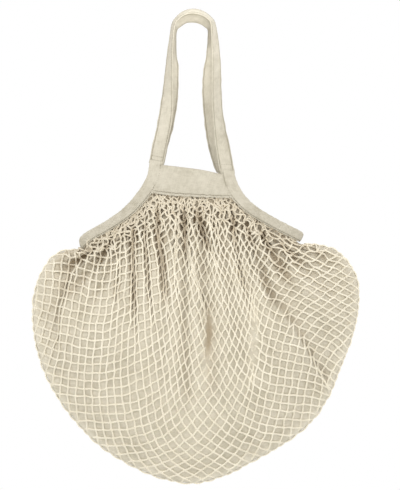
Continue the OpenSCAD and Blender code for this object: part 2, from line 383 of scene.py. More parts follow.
def fold_shade(brown, most):
    """Painted shade: cloth turns browner where the deep attribute is high, in the folds, gathers
    and stitch rows and near the mouth, patchily, as shade would fall there.
    """

    def shade(n, place, colour):
        deep = n.add("ShaderNodeAttribute", attribute_name="deep").outputs["Fac"]
        patchy = n.remap(n.noise(place, 110.0, 2.0), 0.36, 0.62, 0.2, 1.0)
        even = n.math("MAXIMUM", patchy, deep)
        # The painted shade's share: deep, made patchy by noise, times most.
        share = n.math("MULTIPLY", n.math("MULTIPLY", deep, even), most)
        return n.mix(n.math("MINIMUM", share, 1.0), colour, brown)

    return shade


# ---- straps and bindings ----
# A station is [x, y, z, edge angle, twist, width], as in the CAD source.

STRAP_W, STRAP_T, MOUTH_HALF = 19.0, 1.6, 14.0
JOIN_LEFT, JOIN_RIGHT = (-51.0, -181.0), (40.6, -193.0)
JOIN_SLOPE = (JOIN_RIGHT[1] - JOIN_LEFT[1]) / (JOIN_RIGHT[0] - JOIN_LEFT[0])
JOIN_ANGLE = np.degrees(np.arctan(JOIN_SLOPE))
TUCK = 4.0  # how far a strap's end runs down inside the binding


def join_z(x):
    return JOIN_LEFT[1] + JOIN_SLOPE * (x - JOIN_LEFT[0])


def bend(centre, radius, y, twists):
    stations = []
    for i, twist in enumerate(twists):
        a = np.radians(160 - i * 140 / (len(twists) - 1))
        x, z = centre[0] + radius * np.cos(a), centre[1] + radius * np.sin(a)
        stations.append([x, y, z, np.degrees(a) - 180, twist, STRAP_W])
    return stations


def base(x, turn):
    return [x, -MOUTH_HALF, join_z(x) - TUCK, JOIN_ANGLE - turn, 1, STRAP_W]


def legs(rows):
    return [[*row, STRAP_W] for row in rows]


FRONT_HANDLE = [
    base(-51.6, 0),
    *legs([
        (-46.6, -13.8, -160, -13, 6), (-41.6, -13.2, -137, -10, 14),
        (-38, -12.6, -112, -6, 26), (-36.2, -11.8, -85, -3, 49),
        (-34.6, -11, -57, -4, 61), (-32.6, -10.4, -32, -8, 73),
    ]),
    *bend((-3.4, -14.5), 27.5, -10.2, (75, 73, 69, 67, 68, 70, 70)),
    *legs([
        (25.4, -10.4, -36, -176, 58), (26.5, -11, -60, -178, 53),
        (26.8, -11.8, -87, -178, 49), (27.8, -12.6, -114, -176, 46),
        (31.2, -13.2, -142, -172, 34), (35.6, -13.8, -168, -172, 12),
    ]),
    base(40.8, 180),
]
REAR_HANDLE = [
    base(-51.6, 0),
    *legs([
        (-45.5, -14, -158, -14, 5), (-38.5, -13.6, -132, -13, 10),
        (-33.4, -13, -104, -8, 20), (-31.2, -12.4, -78, -2, 28),
        (-31, -11.6, -57, 0, 33), (-31.4, -11, -38, -2, 52),
    ]),
    *bend((-4.5, -19), 26, -10.4, (68, 64, 59, 57, 58, 60, 62)),
    *legs([
        (20.8, -11, -43, -180, 36), (18.8, -11.8, -60, -180, 20),
        (17.3, -12.5, -82, -180, 12), (18.2, -13, -106, -178, 12),
        (20.6, -13.6, -132, -175, 12), (25.6, -14, -162, -168, 8),
    ]),
    base(35.8, 180),
]

TAPE_T, TAPE_TOP, TAPE_SIDE = 2.4, 16.5, 13.5


def tape(x, y, z, angle, f):
    return [x, y, z, angle, 0, TAPE_TOP + (TAPE_SIDE - TAPE_TOP) * f]


LEFT_TAPE = [
    tape(-51.2, -MOUTH_HALF, join_z(-51.2) + 0.5, JOIN_ANGLE, 0),
    tape(-55.6, -MOUTH_HALF, -203, -16, 0),
    tape(-67.8, -MOUTH_HALF, -224, -36, 0.3),
    tape(-88.6, -12.4, -247, -48, 0.7),
    tape(-115, -9, -265.3, -59, 1),
    tape(-136, -5.6, -277, -61, 1),
    tape(-146, -2.6, -284.6, -63, 0.8),
    tape(-150.4, 0, -290.6, -67, 0.4),
]


def right_tape(shift):
    return [
        tape(40.6 + shift, -MOUTH_HALF, join_z(40.6 + shift) + 0.5, JOIN_ANGLE - 180, 0),
        tape(45 + shift * 0.6, -MOUTH_HALF, -210, -160, 0),
        tape(56, -MOUTH_HALF, -229, -139, 0.3),
        tape(73, -13, -245, -129, 0.7),
        tape(95.5, -10.6, -258.6, -121, 1),
        tape(118, -7.4, -270.4, -118, 1),
        tape(134.6, -3.4, -278.6, -118, 1),
        tape(137.4, 0, -280.4, -118, 1),
    ]


REAR_SHIFT = -5.0
EDGE_MARGIN = 1.8  # from a row of stitches to the edge of its cloth
PRESS = 0.45  # how much thinner the cloth is on a row of stitches
# The length, gap and radius of the stitches
HEM_STITCH, STRAP_STITCH, JOIN_STITCH = (2.6, 0.7, 0.32), (2.8, 0.8, 0.34), (2.2, 0.7, 0.34)


def pressed(distance):
    """How far a row of stitches presses its cloth in, from 1 on the row to 0 beside it."""
    return np.exp(-((distance / 0.6) ** 2))


def ribbon_frame(stations, t):
    """Middle, width direction, face normal and width of a ribbon at each t."""
    s = on_curve(stations, t)
    ahead = on_curve(stations, t + 0.004)[:, :3] - on_curve(stations, t - 0.004)[:, :3]
    a, w = np.radians(s[:, 3]), np.radians(s[:, 4])
    across = np.stack([np.cos(a) * np.cos(w), -np.sin(w), np.sin(a) * np.cos(w)], 1)
    return s[:, :3], across, unit(np.cross(across, unit(ahead))), s[:, 5]


def even_steps(stations, step):
    """Values of t that lie about step apart along a ribbon."""
    t = np.linspace(0, 1, 2000)
    along = run_along(on_curve(stations, t)[:, :3])
    return np.interp(np.linspace(0, along[-1], int(along[-1] / step) + 1), along, t)


def rounded_end(left, radius):
    """How much an edge draws in where only the length left remains before the end."""
    return radius - np.sqrt(np.maximum(radius**2 - np.maximum(radius - left, 0) ** 2, 0))


def ribbon(name, stations, thick, rows_at, wobble, seed, rear, material, round_end=(0, 0)):
    """A strap or tape with rounded folded edges, pressed in along its stitch rows, with painted
    shade along them.
    round_end is the radius that its outer and inner edge turn in with at its end."""
    t = even_steps(stations, 1.6)
    middle, across, normal, width = ribbon_frame(stations, t)
    columns = 33
    f = np.sin(np.linspace(-np.pi / 2, np.pi / 2, columns))
    along = np.linspace(0, 1, len(t))[:, None]
    run = run_along(middle)
    outer, inner = (rounded_end(run[-1] - run, radius)[:, None] for radius in round_end)
    low, high = outer - width[:, None] / 2, width[:, None] / 2 - inner
    side = (low + high) / 2 + f[None] * (high - low) / 2
    edge = waves(along + 0.13 * np.sign(f)[None], 5, 6, 30, seed) * wobble * f[None] ** 4
    ripple = waves(along, 4, 5, 16, seed + 1) * wobble * 0.7 * np.cos(f[None] * 2.2)
    half = thick / 2 * np.maximum(1 - np.abs(f) ** 9, 0.02) ** 0.4
    at_rows = [np.sign(row) * width[:, None] / 2 - row for row in rows_at]
    press = sum(pressed(side - at) for at in at_rows)
    half = half[None] * (1 - PRESS * press)
    grid = middle[:, None] + across[:, None] * (side + edge)[..., None]
    grid = grid + normal[:, None] * ripple[..., None]
    n = np.repeat(normal[:, None], columns, 1)
    if rear:
        grid, n = mirrored(grid)[:, ::-1], mirrored(n)[:, ::-1]
        half, press = half[:, ::-1], press[:, ::-1]
    # press also goes in as deep: a painted shade along each row of stitches.
    return cloth_shell(name, grid, n, half, press, material, "canvas")


def rings_round(centre, normal, side, radius, sides, along):
    """Rings of points round a line, and their UV."""
    turn = (np.arange(sides) * 2 * np.pi / sides)[None, :, None]
    ring = normal[:, None] * np.cos(turn) + side[:, None] * np.sin(turn)
    uv = np.stack(np.broadcast_arrays(turn[..., 0] / (2 * np.pi), along[:, None] * MM), -1)
    return centre[:, None] + ring * radius[:, None, None], uv


def stitches(name, lines, size, rear, material):
    """Rows of separate stitches: each dips into the cloth at both of its ends.
    A line is its points and the normals of the face that it is sewn on."""
    length, gap, radius = size
    points, faces, uv, start = [], [], [], 0
    rings, sides = 7, 6
    s = np.linspace(0, 1, rings)
    lift = 0.62 * radius - 1.5 * radius * np.abs(2 * s - 1) ** 4
    thin = radius * (1 - 0.35 * np.abs(2 * s - 1) ** 3)
    for p, n in lines:
        along = run_along(p)
        for at in np.arange(0, along[-1] - length, length + gap):
            where = at + s * length
            c = np.stack([np.interp(where, along, p[:, k]) for k in range(3)], 1)
            m = unit(np.stack([np.interp(where, along, n[:, k]) for k in range(3)], 1))
            b = unit(np.cross(unit(np.gradient(c, axis=0)), m))
            tube, tube_uv = rings_round(c + m * lift[:, None], m, b, thin, sides, where)
            points.append(tube.reshape(-1, 3))
            uv.append(tube_uv.reshape(-1, 2))
            faces.append(tube_faces(rings, sides) + start)
            start += rings * sides
    points, faces = np.concatenate(points), np.concatenate(faces)
    if rear:
        points, faces = mirrored(points), faces[:, ::-1]
    return new_piece(name, points, faces, np.concatenate(uv), material, "thread")


def tube_faces(rings, sides):
    i, j = np.meshgrid(np.arange(rings - 1), np.arange(sides), indexing="ij")
    a, b = i * sides + j, i * sides + (j + 1) % sides
    body = np.stack([a, b, b + sides, a + sides], -1).reshape(-1, 4)
    caps = []
    for first, order in ((0, -1), ((rings - 1) * sides, 1)):
        ring = (first + np.arange(sides))[::order]
        for k in range(1, sides - 2, 2):
            caps.append([ring[0], ring[k], ring[k + 1], ring[k + 2]])
    return np.concatenate([body, np.array(caps)])


def face_line(stations, side, inset, lift, first, last):
    """A line on one face of a ribbon, inset from its outer (-1) or inner (1) edge."""
    t = even_steps(stations, 0.8)
    t = t[(t >= first) & (t <= last)]
    middle, across, normal, width = ribbon_frame(stations, t)
    inwards = (side * (width / 2 - inset))[:, None]
    return middle + across * inwards + normal * lift, normal * np.sign(lift)


# ---- bands ----

BAND_T, BAND_H, HEM = 1.6, 36, 3.3
BAND_TOP = [(-47.5, -186.2), (-43, -186.4), (-20, -189), (8, -192.8), (32, -198), (37, -199)]
BAND_LOW = [(-58.5, -222.6), (-42, -224.8), (-27, -226.4), (12, -228.4), (32, -229), (49.5, -229)]


def band_grid(shift, across, down):
    """Points of a band: across it from 0 to 1, and down it from 0 to 1."""
    top = on_curve(BAND_TOP, across)
    low = on_curve(BAND_LOW, across)
    top = top + np.stack([shift * smooth(across * 1.4 - 0.4), 0 * across], -1)
    f = down[:, None, None]
    xz = top[None] * (1 - f) + low[None] * f
    hang = np.sin(np.pi * np.clip(f[..., 0], 0, 1))
    soft = waves(across[None] + 0.25 * f[..., 0], 4, 0.8, 2.6, 11) * hang * 0.8
    gather = waves(across[None] + 0 * f[..., 0], 4, 12, 22, 12) * f[..., 0] ** 6 * 0.35
    y = -MOUTH_HALF - soft - gather
    return np.stack([xz[..., 0], y, xz[..., 1] + gather], -1)


def make_band(side, shift, rear, material, thread):
    across, down = np.linspace(0, 1, 97), np.sin(np.linspace(0, np.pi / 2, 41))
    grid = band_grid(shift, across, down)
    normal = np.zeros_like(grid)
    normal[..., 1] = -1
    drop = (1 - down) * BAND_H
    half = BAND_T / 2 * np.minimum(1, 0.35 + np.minimum(drop, down * BAND_H) / 0.9) ** 0.5
    press = pressed(drop - HEM)
    half = half * (1 - PRESS * press) * np.where(drop < HEM, 1.25, 1.0)
    half, press = (np.repeat(row[:, None], len(across), 1) for row in (half, press))
    if rear:
        grid, normal = mirrored(grid)[:, ::-1], mirrored(normal)[:, ::-1]
    # press also goes in as deep: a painted shade along the hem's row of stitches.
    band = cloth_shell(f"{side}_band_cloth", grid, normal, half, press, material, "canvas")
    t = np.linspace(0.07, 0.95, 160)
    row = band_grid(shift, t, np.array([1 - HEM / BAND_H]))[0]
    out = np.zeros_like(row)
    out[:, 1] = -1
    lines = [(row + out * 0.62, out), (row - out * 0.62, -out)]
    hem = stitches(f"{side}_band_stitches", lines, HEM_STITCH, rear, thread)
    for piece, node in ((band, "band"), (hem, "band_stitching")):
        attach(piece, f"{side}_mouth")
        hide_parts(f"{side}_{node}")


# ---- the pouch's surface ----

MOUTH_EDGE = [
    (-148.5, -296.4), (-131, -289.6), (-112.5, -278.6), (-95, -266.5), (-78, -252.5),
    (-63, -237.5), (-49, -229.8), (-28, -231.6), (-5, -233), (18, -233.6), (41, -234.4),
    (57, -246), (74, -259), (93, -270.8), (113, -281.4), (135, -290.6),
]  # fmt: skip
OUTLINE = [
    (-152.5, -295.5), (-182, -303), (-203, -332), (-211, -368), (-209, -408), (-199, -447),
    (-181, -484), (-157, -517), (-128, -547), (-92, -571), (-51, -590), (-5, -598.5),
    (38, -588), (77, -568), (114, -547), (148, -520), (171, -487), (187, -449),
    (202, -409), (210, -370), (207, -330), (182, -298), (141, -287.8),
]  # fmt: skip
BELLY = 30.0
UNDER = 11.0  # how far the net runs up behind the band and the bindings
SPARE = 12.0  # and how much further the surface itself is made

# Folds of the filled net: points in x and z, how deep, how wide
VALLEYS = [
    ([(-103, -282), (-116, -300), (-129, -322), (-138, -352)], 6.0, 3.6),
    ([(-98, -300), (-101, -330), (-104, -370)], 4.5, 3.6),
    ([(-81, -262), (-81, -300), (-80, -350), (-77, -412)], 10.0, 4.4),
    ([(-66, -258), (-64, -300), (-60, -350), (-55, -392)], 7.0, 3.4),
    ([(-50, -236), (-49, -275), (-43, -320), (-35, -385)], 11.0, 4.6),
    ([(-30, -240), (-24, -275), (-27, -312), (-25, -360)], 8.0, 3.8),
    ([(-14, -252), (-12, -290), (-5, -335)], 6.5, 3.4),
    ([(-3, -236), (4, -262), (18, -292), (30, -324)], 11.0, 4.6),
    ([(18, -238), (22, -262), (30, -290)], 9.0, 4.6),
    ([(47, -242), (49, -280), (58, -330), (72, -380)], 10.5, 4.6),
    ([(62, -258), (68, -300), (78, -338)], 6.5, 3.6),
    ([(96, -276), (108, -300), (122, -326)], 6.5, 4.2),
]
# Two deep folds that the net sinks into, so that the lining shows between them
STREAKS = [
    ([(15, -366), (17, -400), (14, -432), (12, -482)], 5.6, 4.4),
    ([(74, -348), (76, -390), (73, -424), (71, -458), (66, -490)], 3.0, 4.4),
]
# Steps where the front of the net overlaps what lies to the left of each line
STEPS = [
    ([(-174, -428), (-177, -393), (-173, -366), (-165, -342), (-156, -320), (-143, -303)], 7.0),
    ([(73, -313), (92, -352), (122, -390), (156, -448), (176, -480)], 7.5),
    ([(-8, -300), (1, -342), (11.5, -377), (14, -407), (9, -436)], 5.0),
]


def outline_normal(u):
    d = unit(on_curve(OUTLINE, u + 0.01) - on_curve(OUTLINE, u - 0.01))
    return np.stack([d[..., 1], -d[..., 0]], -1)


def on_line(u, v):
    """Point in x and z on the line u at v, from 0 at the mouth to 1 at the outline."""
    a, b = on_curve(MOUTH_EDGE, u), on_curve(OUTLINE, u)
    length = np.linalg.norm(b - a, axis=-1, keepdims=True)
    f = 2 * u - 1
    angle = np.radians(-90 + 60 * np.sign(f) * f * f)
    m = np.stack([np.cos(angle), np.sin(angle)], -1) * length * 0.9
    n = outline_normal(u) * length * 0.6
    v = v[..., None]
    w = 1 - v
    return a * (1 + 2 * v) * w * w + m * v * w * w + b * v * v * (3 - 2 * v) - n * v * v * w


def half_depth(u, v):
    """Half of the pouch's depth there, before its folds."""
    e = np.minimum(np.minimum(u, 1 - u) / 0.33, 1)
    edge = 5 + (MOUTH_HALF - 6) * np.sin(np.pi / 2 * e)
    full = BELLY * (0.2 + 0.8 * np.sin(np.pi * u))
    swell = edge * (1 - v * v) + full * np.sin(np.radians(150 * v))
    return swell * np.sqrt(np.maximum(1 - v**6, 0))


def from_line(points, x, z, count=24):
    """Distance of each place from a line of points, signed, and how far along it."""
    p = on_curve(points, np.linspace(0, 1, count))
    best, side, share = np.full(x.shape, 1e9), np.zeros(x.shape), np.zeros(x.shape)
    for i in range(len(p) - 1):
        d = p[i + 1] - p[i]
        t = np.clip(((x - p[i][0]) * d[0] + (z - p[i][1]) * d[1]) / (d @ d), 0, 1)
        dx, dz = x - p[i][0] - t * d[0], z - p[i][1] - t * d[1]
        r = np.hypot(dx, dz)
        nearer = r < best
        best = np.where(nearer, r, best)
        side = np.where(nearer, np.sign(d[0] * dz - d[1] * dx), side)
        share = np.where(nearer, (i + t) / (len(p) - 1), share)
    return best * side, share


def taper(share, first=0.12, last=0.35):
    """How a fold rises and dies away over the first and last shares of its length."""
    return smooth(share / first) * smooth((1 - share) / last)


def pouch_folds(x, z, u, v, below):
    """How far the cloth lies inside of the smooth pouch at each place: in its folds,
    and behind its steps."""
    seed = 20
    calm = smooth((below + 4) / 26)
    fine = waves(u + 0.01 * v, 6, 17, 34, seed) * 1.5 * np.exp(-((v / 0.2) ** 2))
    broad = waves(u + 0.02 * v, 5, 9, 17, seed + 1) * 4.4 * np.exp(-((v / 0.6) ** 2))
    soft = waves(u + 0.2 * v, 4, 1.5, 4, seed + 2) * waves(v - 0.1 * u, 3, 1, 2.5, seed + 3)
    depth = fine + broad + soft * 1.3
    for points, deep, wide in VALLEYS:
        d, share = from_line(points, x, z)
        dip = np.exp(-((d / wide) ** 2)) - 0.25 * np.exp(-((d / wide / 2.6) ** 2))
        depth = depth + deep * taper(share) * dip
    steps = np.zeros(x.shape)
    for points, deep in STEPS:
        d, share = from_line(points, x, z)
        back = smooth((d + 3.0) / 6.5) * np.exp(-np.maximum(d, 0) / 17)
        steps = steps + deep * taper(share, 0.2, 0.2) * back
    ease = calm * smooth((1 - v) / 0.1)
    return depth * ease, steps * ease


def streaks(x, z):
    """How far the net sinks behind the lining in the two deepest folds."""
    sunk = np.zeros(x.shape)
    for points, deep, wide in STREAKS:
        d, share = from_line(points, x, z)
        sunk = sunk + deep * taper(share, 0.3, 0.5) * np.exp(-((d / wide) ** 4))
    return sunk


def pouch_front():
    """The front wall of the pouch over a grid of lines from above the mouth to the
    outline: its points, how far each lies below the mouth, and its share of painted shade, which
    grows deep in the folds, in the streaks, behind the steps and near the mouth."""
    u = np.linspace(0, 1, 977)
    above = np.arange(-(UNDER + SPARE), 0, 1.0)
    v = 1 - (1 - np.linspace(0, 1, 240)) ** 1.15
    uu, vv = np.meshgrid(u, np.r_[np.zeros(len(above)), v], indexing="ij")
    xz = on_line(uu, vv)
    tangent = unit(on_curve(MOUTH_EDGE, u + 0.03) - on_curve(MOUTH_EDGE, u - 0.03))
    up = np.stack([-tangent[:, 1], tangent[:, 0]], -1)
    narrow = 0.25 + 0.75 * smooth(np.minimum(u, 1 - u) / 0.08)
    xz[:, : len(above)] += (up * narrow[:, None])[:, None] * -above[None, :, None]
    run = np.linalg.norm(np.diff(xz[:, len(above) :], axis=1), axis=-1)
    run = np.concatenate([np.zeros((len(u), 1)), np.cumsum(run, 1)], 1)
    below = np.concatenate([np.repeat(above[None], len(u), 0), run], 1)
    tucked = 2.4 * (1 - smooth((below + 5) / 17))
    x, z = xz[..., 0], xz[..., 1]
    folds, steps = pouch_folds(x, z, uu, vv, below)
    # Painted shade: high darkens the cloth near the mouth, and deep adds painted shade in the
    # folds, the streaks and behind the steps.
    high = 0.4 * (1 - smooth((below + 5) / 75)) + 0.28 * (1 - smooth(below / 210))
    deep = 0.7 * smooth((folds - 0.5) / 8) + 0.42 * smooth(streaks(x, z) / 6) + high
    deep = np.clip(deep + 0.45 * smooth(steps / 8), 0, 1)
    folds = folds + steps
    return np.stack([x, tucked - half_depth(uu, vv) + folds, z], -1), below, deep


# ---- the net ----
# How the net lies on the filled bag, in degrees, across it at LAY_X and down it at
# LAY_Z: how far the falling yarn leans to the right of straight down, and how far the
# crossing yarn rises above level
LAY_X = [-190, -140, -100, -65, -30, 5, 40, 70, 105, 140, 185]
LAY_Z = [-255, -320, -380, -440, -500, -560]
LEANS = [
    [15, -15, 0, 15, 20, 25, 30, 40, 50, 60, 60],
    [10, -20, -20, 0, 5, 25, 35, 40, 60, 65, 65],
    [-15, -15, -15, 0, 5, 25, 32, 45, 72, 60, 60],
    [-25, -5, -15, 0, 8, 22, 33, 48, 84, 75, 45],
    [-5, 0, 0, 0, 12, 28, 38, 60, 84, 90, 60],
    [0, 5, 12, 25, 45, 58, 55, 65, 75, 85, 70],
]
RISES = [
    [10, -5, 35, 50, 65, 65, 70, 70, 50, 40, 40],
    [5, -20, 20, 5, 30, 60, 85, 90, 45, 27, 38],
    [-22, -15, 25, 10, 42, 58, 75, 90, 80, 33, 33],
    [-20, -4, 20, 22, 50, 55, 68, 85, 95, 78, 38],
    [-5, 0, 4, 30, 52, 53, 62, 80, 86, 86, 60],
    [0, 0, 0, 12, 28, 36, 50, 68, 78, 82, 70],
]
# The sides of a mesh along the falling and the crossing yarn, gathered at the mouth,
# and how much longer they are from LET_OUT below it
GATHERED, LONGER, LET_OUT = (7.0, 6.8), (3.8, 2.9), 60
YARN_R = 1.15
STEP = 1.5  # spacing of the grid that the net is laid out on
GRID_X, GRID_Z = np.arange(-228, 228, STEP), np.arange(-618, -168, STEP)


def crumpled(x, below):
    """How loosely the net bunches, from 1 at the mouth to 0 further down."""
    reach = 70 + 45 * smooth((x - 40) / 60)
    return 1 - smooth(np.nan_to_num(below, nan=-99) / reach)


def between_ends(x, z):
    """Whether a place lies over the mouth, above the two ends of the outline."""
    (x0, z0), (x1, z1) = OUTLINE[0], OUTLINE[-1]
    return (x > x0) & (x < x1) & (z > z0 + (z1 - z0) * (x - x0) / (x1 - x0))


def laid(degrees, x, z):
    """The angle at each place, read between the rows and columns of LEANS or RISES."""
    angle = np.radians(degrees)
    row = np.interp(-z, np.negative(LAY_Z), np.arange(len(LAY_Z)))
    column = np.interp(x, LAY_X, np.arange(len(LAY_X)))
    i = np.minimum(row.astype(int), len(LAY_Z) - 2)
    k = np.minimum(column.astype(int), len(LAY_X) - 2)
    row, column = row - i, column - k
    upper = angle[i, k] * (1 - column) + angle[i, k + 1] * column
    lower = angle[i + 1, k] * (1 - column) + angle[i + 1, k + 1] * column
    return upper * (1 - row) + lower * row


def mesh_sides(x, z, below):
    """The sides of a mesh at each place, along its falling and its crossing yarn."""
    lean, rise = laid(LEANS, x, z), laid(RISES, x, z)
    let_out = smooth(below / LET_OUT)
    fall, cross = (short + more * let_out for short, more in zip(GATHERED, LONGER))
    return fall * np.sin(lean), -fall * np.cos(lean), cross * np.cos(rise), cross * np.sin(rise)


def outflow(along_x, along_z):
    """What leaves each grid point, from the flows between neighbours."""
    total = np.zeros((along_z.shape[0], along_x.shape[1]))
    total[:-1] -= along_x
    total[1:] += along_x
    total[:, :-1] -= along_z
    total[:, 1:] += along_z
    return total


def even_solution(b):
    """Solves the same equations as from_slopes where every weight is 1."""
    n, m = b.shape
    wave_n = 2 - 2 * np.cos(np.pi * np.arange(2 * n) / n)
    wave_m = 2 - 2 * np.cos(np.pi * np.arange(m + 1) / m)
    size = wave_n[:, None] + wave_m[None]
    size[0, 0] = np.inf
    f = np.fft.rfft2(np.block([[b, b[:, ::-1]], [b[::-1], b[::-1, ::-1]]]))
    return np.fft.irfft2(f / size, s=(2 * n, 2 * m))[:n, :m]


def from_slopes(slope_x, slope_z, weight):
    """The field whose slopes, for each grid step, come nearest to the given ones,
    by conjugate gradients. A small weight lets it slip there."""
    wx, wz = np.minimum(weight[1:], weight[:-1]), np.minimum(weight[:, 1:], weight[:, :-1])
    along_x, along_z = slope_x[1:] + slope_x[:-1], slope_z[:, 1:] + slope_z[:, :-1]
    left = outflow(wx * along_x / 2, wz * along_z / 2)
    field = np.zeros(weight.shape)
    step = aim = even_solution(left)
    size = (left * aim).sum()
    for _ in range(40):
        change = outflow(wx * np.diff(step, axis=0), wz * np.diff(step, axis=1))
        far = size / (step * change).sum()
        field, left = field + far * step, left - far * change
        aim = even_solution(left)
        before, size = size, (left * aim).sum()
        step = aim + size / before * step
    return field


def slack(x, z, lines):
    """1 on open net, and 0.02 along the folds, where the meshes can crowd."""
    near = np.stack([np.abs(from_line(points, x, z)[0]) for points in lines]).min(0)
    return 1 - 0.98 * np.exp(-((near / 5) ** 2))


def on_grid(points, values):
    """Values at scattered points in x and z, averaged onto the grid."""
    i = np.round((points[..., 0] - GRID_X[0]) / STEP).astype(int)
    k = np.round((points[..., 1] - GRID_Z[0]) / STEP).astype(int)
    total = np.zeros((len(GRID_X), len(GRID_Z), len(values)))
    weight = np.zeros((len(GRID_X), len(GRID_Z), 1))
    for di, dk in np.ndindex(3, 3):
        w = (1 + (di == 1)) * (1 + (dk == 1))
        at = (np.clip(i + di - 1, 0, len(GRID_X) - 1), np.clip(k + dk - 1, 0, len(GRID_Z) - 1))
        np.add.at(weight, at, w)
        np.add.at(total, at, w * np.stack(values, -1))
    return np.moveaxis(total / np.where(weight, weight, np.nan), -1, 0)


def sample(field, x, z):
    """Values of a grid field between its grid points."""
    gx = np.clip((x - GRID_X[0]) / STEP, 0, len(GRID_X) - 1.001)
    gz = np.clip((z - GRID_Z[0]) / STEP, 0, len(GRID_Z) - 1.001)
    i, k = gx.astype(int), gz.astype(int)
    fx, fz = gx - i, gz - k
    low = field[i, k] * (1 - fz) + field[i, k + 1] * fz
    return low * (1 - fx) + (field[i + 1, k] * (1 - fz) + field[i + 1, k + 1] * fz) * fx


def find_knots(p, q):
    """Places in x and z where both counts, of falling and of crossing yarns, are
    whole numbers, by those numbers."""
    low_p, low_q = p[:-1, :-1], q[:-1, :-1]
    px, pz = p[1:, :-1] - low_p, p[:-1, 1:] - low_p
    qx, qz = q[1:, :-1] - low_q, q[:-1, 1:] - low_q
    mid_p, mid_q = low_p + (px + pz) / 2, low_q + (qx + qz) / 2
    m, n = np.round(mid_p), np.round(mid_q)
    turn = px * qz - pz * qx
    dx = ((m - mid_p) * qz - (n - mid_q) * pz) / turn
    dz = ((n - mid_q) * px - (m - mid_p) * qx) / turn
    off = np.maximum(np.abs(dx), np.abs(dz))
    knots = {}
    for i, k in sorted(np.argwhere(off < 0.62), key=lambda at: off[tuple(at)]):
        at = (GRID_X[i] + STEP * (0.5 + dx[i, k]), GRID_Z[k] + STEP * (0.5 + dz[i, k]))
        knots.setdefault((int(m[i, k]), int(n[i, k])), np.array(at))
    return knots


def yarn_runs(knots):
    """Each yarn as the knots that it passes, with its slant: 1 if it falls, -1 if
    it crosses. A yarn's number is one of its knots' numbers, the other counts on."""
    for slant in (1, -1):
        yarns = {}
        for m, n in knots:
            number, count = (m, n) if slant == 1 else (n, m)
            yarns.setdefault(number, []).append((count, (m, n)))
        for number in sorted(yarns):
            run = []
            for count, key in sorted(yarns[number]):
                if run and (count != last + 1 or np.hypot(*(knots[key] - run[-1])) > 26):
                    yield slant, np.array(run)
                    run = []
                run.append(knots[key])
                last = count
            yield slant, np.array(run)


def blurred(field, reach):
    """A field averaged over reach grid points each way."""
    for axis in (0, 1):
        ends = [(reach, reach) if k == axis else (0, 0) for k in (0, 1)]
        total = np.cumsum(np.pad(field, ends, mode="edge"), axis)
        total = np.insert(total, 0, 0, axis)
        size = field.shape[axis]
        far = np.take(total, np.arange(size) + 2 * reach + 1, axis)
        field = (far - np.take(total, np.arange(size), axis)) / (2 * reach + 1)
    return field


def foreshortened(slope, share):
    """How much narrower than round about a mesh looks on the sides of the folds."""
    steep = np.clip((slope - blurred(slope, 14)) * share, -2, 2)
    stretch = np.sqrt(1 + steep**2)
    return stretch / blurred(stretch, 12)


class Cloth:
    """The front wall as grid fields over x and z."""

    def __init__(self):
        points, below, deep = pouch_front()
        self.points, self.below_mouth, self.painted_shade_at = points, below, deep
        # self.deep is the share of painted shade, averaged onto the grid.
        self.y, self.below, self.deep = on_grid(points[..., [0, 2]], [points[..., 1], below, deep])
        self.deep = np.nan_to_num(self.deep)
        x, z = np.meshgrid(GRID_X, GRID_Z, indexing="ij")
        self.rim = np.where(between_ends(x, z), 20, from_line(OUTLINE, x, z, 240)[0])
        self.y = np.nan_to_num(self.y) * np.sqrt(np.clip(self.rim / 3, 0, 1))
        self.slope_x, self.slope_z = np.gradient(self.y, STEP)
        self.sunk = streaks(x, z)
        run = np.nan_to_num(self.below, nan=99)
        ax, az, bx, bz = mesh_sides(x, z, run)
        crowded = 1 + 0.25 * (1 - smooth(run / 45))
        area = (ax * bz - az * bx) / STEP / crowded
        inner = smooth(self.rim / 30)
        wider = foreshortened(self.slope_x, inner)
        taller = foreshortened(self.slope_z, inner)
        weight = slack(x, z, [line[0] for line in VALLEYS + STREAKS + STEPS])
        weight = weight * np.where((self.rim > -6) & (self.below > -14), 1, 0.002)
        self.falling = from_slopes(-az / area * wider, ax / area * taller, weight)
        self.crossing = from_slopes(bz / area * wider, -bx / area * taller, weight)


def yarn_tube(slant, run, cloth, steps, draw):
    """One yarn over the cloth: the centre, face normal and radius of each ring, and
    its distance inside the outline and below the mouth. The yarn bows between its
    knots, swells at them, and passes over or under there."""
    count = (len(run) - 1) * steps + 1
    t = np.linspace(0, 1, count)
    line = on_curve(run, t)
    share = (np.arange(count) / steps) % 1
    which = np.minimum(np.arange(count) // steps, len(run) - 2)
    below = np.nan_to_num(sample(cloth.below, line[:, 0], line[:, 1]), nan=-99)
    loose = crumpled(line[:, 0], below)
    ahead = unit(np.gradient(line, axis=0))
    bow = draw.normal(0, 1, len(run) - 1)[which] * np.sin(np.pi * share) * (0.35 + 1.4 * loose)
    line = line + np.stack([-ahead[:, 1], ahead[:, 0]], -1) * bow[:, None]
    x, z = line.T
    near = np.exp(-((np.minimum(share, 1 - share) * 10 / 1.7) ** 2))
    slope_x, slope_z = sample(cloth.slope_x, x, z), sample(cloth.slope_z, x, z)
    normal = unit(np.stack([slope_x, -np.ones(count), slope_z], -1))
    y = sample(cloth.y, x, z) + sample(cloth.sunk, x, z)
    centre = np.stack([x, y, z], -1)
    proud = 0.8 * loose * np.abs(bow) * smooth((below - 1) / 7)
    centre = centre + normal * (slant * 0.42 * near + proud)[:, None]
    radius = YARN_R * (1 + 0.26 * near + draw.normal(0, 0.04, count))
    return centre, normal, radius, sample(cloth.rim, x, z), below


def tube_rings(centre, normal, radius, sides):
    """Rings round a line whose sides keep square to it and to the face normal."""
    ahead = unit(np.gradient(centre, axis=0))
    side = unit(np.cross(ahead, normal))
    return rings_round(centre, np.cross(side, ahead), side, radius, sides, run_along(centre))


